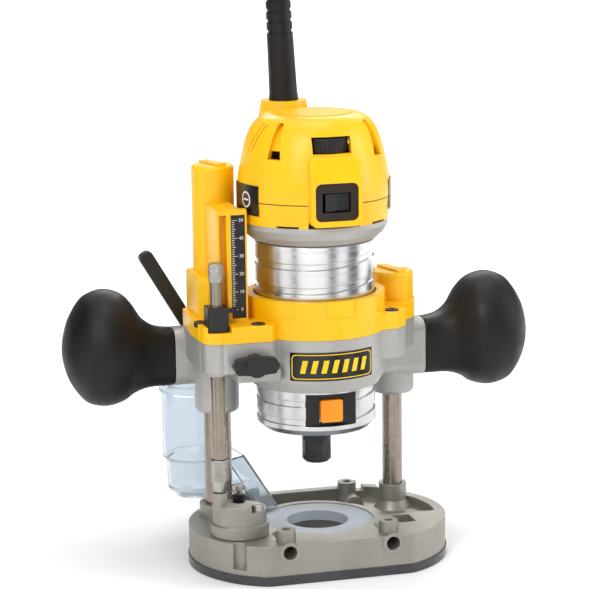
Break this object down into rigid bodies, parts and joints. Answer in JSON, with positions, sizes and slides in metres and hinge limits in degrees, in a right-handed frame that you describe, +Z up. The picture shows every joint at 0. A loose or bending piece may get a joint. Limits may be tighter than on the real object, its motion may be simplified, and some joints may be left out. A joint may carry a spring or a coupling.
{
  "type": "plunge router",
  "caption": "Hand-held plunge router: compact motor with a yellow cap in a two-column plunge base, side knobs, turret depth stop and clear dust outlet.",
  "frame": {"origin": "on the spindle axis, at the underside of the sub-base", "axes": "+Z up along the spindle axis, -Y the front with the switch, +X to the operator's right hand knob"},
  "size_m": [0.2762, 0.1491, 0.3482],
  "materials": {
    "yellow_plastic": "moulded, satin with orange shade",
    "black_plastic": "moulded, matt",
    "black_rubber": "soft touch, matt",
    "cast_aluminium": "die cast, bead blasted satin",
    "warm_casting": "die cast, champagne grey satin",
    "turned_aluminium": "turned and polished",
    "bronzed_steel": "ground, light bronze tint",
    "zinc_steel": "zinc plated",
    "dark_steel": "blackened",
    "clear_plastic": "clear, gloss",
    "smoked_plastic": "smoked clear, gloss",
    "orange_plastic": "gloss",
    "brown_boot": "translucent boot",
    "label_film": "printed film",
    "copper": "enamelled copper",
    "bronze_bush": "sintered bronze",
    "spring_steel": "drawn wire",
    "carbon": "graphite"
  },
  "bodies": {
    "base": {"sub_base": "smoked_plastic", "base_screws": "zinc_steel", "base_casting": "warm_casting", "column_set_screws": "dark_steel", "template_ring": "clear_plastic", "column_left": "bronzed_steel", "column_right": "bronzed_steel", "turret_pivot_screw": "zinc_steel", "dust_port": "clear_plastic", "dust_duct": "clear_plastic"},
    "turret": {"turret": "warm_casting", "stop_screw_mid": "zinc_steel", "stop_nut_mid": "dark_steel", "stop_screw_low": "zinc_steel"},
    "carriage": {"carriage_casting": "cast_aluminium", "top_cover": "yellow_plastic", "cover_screws": "dark_steel", "bush_left": "bronze_bush", "bush_right": "bronze_bush", "scale_plate": "label_film", "name_plate": "label_film", "lever_bolt": "zinc_steel", "clamp_bolt": "zinc_steel", "grip_right": "black_rubber", "grip_left": "black_rubber", "knob_core_right": "zinc_steel", "knob_core_left": "zinc_steel", "return_spring": "spring_steel"},
    "depth_rod": {"depth_rod": "bronzed_steel", "rod_top_knob": "zinc_steel"},
    "fine_adjuster": {"fine_adjuster": "bronzed_steel"},
    "zero_pointer": {"zero_pointer": "black_plastic"},
    "rod_lock_knob": {"rod_lock_knob": "black_plastic"},
    "plunge_lock_lever": {"plunge_lock_lever": "black_plastic"},
    "motor_clamp_lever": {"motor_clamp_lever": "black_plastic"},
    "motor": {"motor_barrel": "turned_aluminium", "lock_panel": "label_film", "motor_flange": "cast_aluminium", "motor_cap": "yellow_plastic", "cap_band": "yellow_plastic", "switch_boot": "brown_boot", "control_module": "black_plastic", "cord_guard": "black_rubber", "side_labels": "label_film", "stator": "dark_steel", "field_windings": "copper", "brush_holders": "copper", "brushes": "carbon", "lower_bearing": "zinc_steel", "upper_bearing": "zinc_steel", "button_spring": "spring_steel"},
    "spindle_lock_button": {"spindle_lock_button": "orange_plastic"},
    "switch_rocker": {"switch_rocker": "black_plastic"},
    "speed_dial": {"speed_dial": "black_plastic"},
    "spindle": {"spindle": "zinc_steel", "collet": "zinc_steel", "collet_nut": "dark_steel", "rotor": "dark_steel", "commutator": "copper", "fan": "black_plastic"}
  },
  "joints": [
    {"name": "plunge", "type": "slide", "parent": "base", "child": "carriage", "axis": [0, 0, -1], "range_m": [0, 0.055], "stiffness_N_per_m": 700, "springref_m": -0.09, "deforming": ["return_spring"]},
    {"name": "turret_turn", "type": "hinge", "parent": "base", "child": "turret", "pos_m": [-0.0515, -0.019, 0.03], "axis": [0, 0, 1], "continuous": true},
    {"name": "depth_rod_slide", "type": "slide", "parent": "carriage", "child": "depth_rod", "axis": [0, 0, 1], "range_m": [0, 0.055]},
    {"name": "fine_adjuster_turn", "type": "hinge", "parent": "depth_rod", "child": "fine_adjuster", "pos_m": [-0.0635, -0.022, 0.06], "axis": [0, 0, 1], "continuous": true},
    {"name": "zero_pointer_slide", "type": "slide", "parent": "depth_rod", "child": "zero_pointer", "axis": [0, 0, 1], "range_m": [0, 0.0135]},
    {"name": "rod_lock_turn", "type": "hinge", "parent": "carriage", "child": "rod_lock_knob", "pos_m": [-0.045, -0.034, 0.125], "axis": [0, -1, 0], "range_deg": [0, 180]},
    {"name": "plunge_lock_press", "type": "hinge", "parent": "carriage", "child": "plunge_lock_lever", "pos_m": [-0.0576, 0.0496, 0.1215], "axis": [0, -1, 0], "range_deg": [0, 20], "stiffness_Nm_per_rad": 0.6, "springref_deg": -17.19},
    {"name": "motor_clamp_open", "type": "hinge", "parent": "carriage", "child": "motor_clamp_lever", "pos_m": [0.019, 0.0425, 0.12], "axis": [0, 0, -1], "range_deg": [0, 90]},
    {"name": "motor_lift", "type": "slide", "parent": "carriage", "child": "motor", "axis": [0, 0, 1], "range_m": [0, 0.085]},
    {"name": "spindle_lock_press", "type": "slide", "parent": "motor", "child": "spindle_lock_button", "axis": [0, 1, 0], "range_m": [0, 0.0022], "stiffness_N_per_m": 500, "springref_m": -0.002, "deforming": ["button_spring"]},
    {"name": "switch_rock", "type": "hinge", "parent": "motor", "child": "switch_rocker", "pos_m": [0.0006, -0.0402, 0.2157], "axis": [0, 0, 1], "range_deg": [-18, 0]},
    {"name": "speed_dial_turn", "type": "hinge", "parent": "motor", "child": "speed_dial", "pos_m": [0.0004, -0.0255, 0.246], "axis": [0, 0, 1], "range_deg": [0, 270]},
    {"name": "spindle_spin", "type": "hinge", "parent": "motor", "child": "spindle", "pos_m": [0, 0, 0.1], "axis": [0, 0, 1], "continuous": true}
  ],
  "couplings": [
    {"joint": "depth_rod_slide", "follows": "plunge", "ratio": 1}
  ]
}
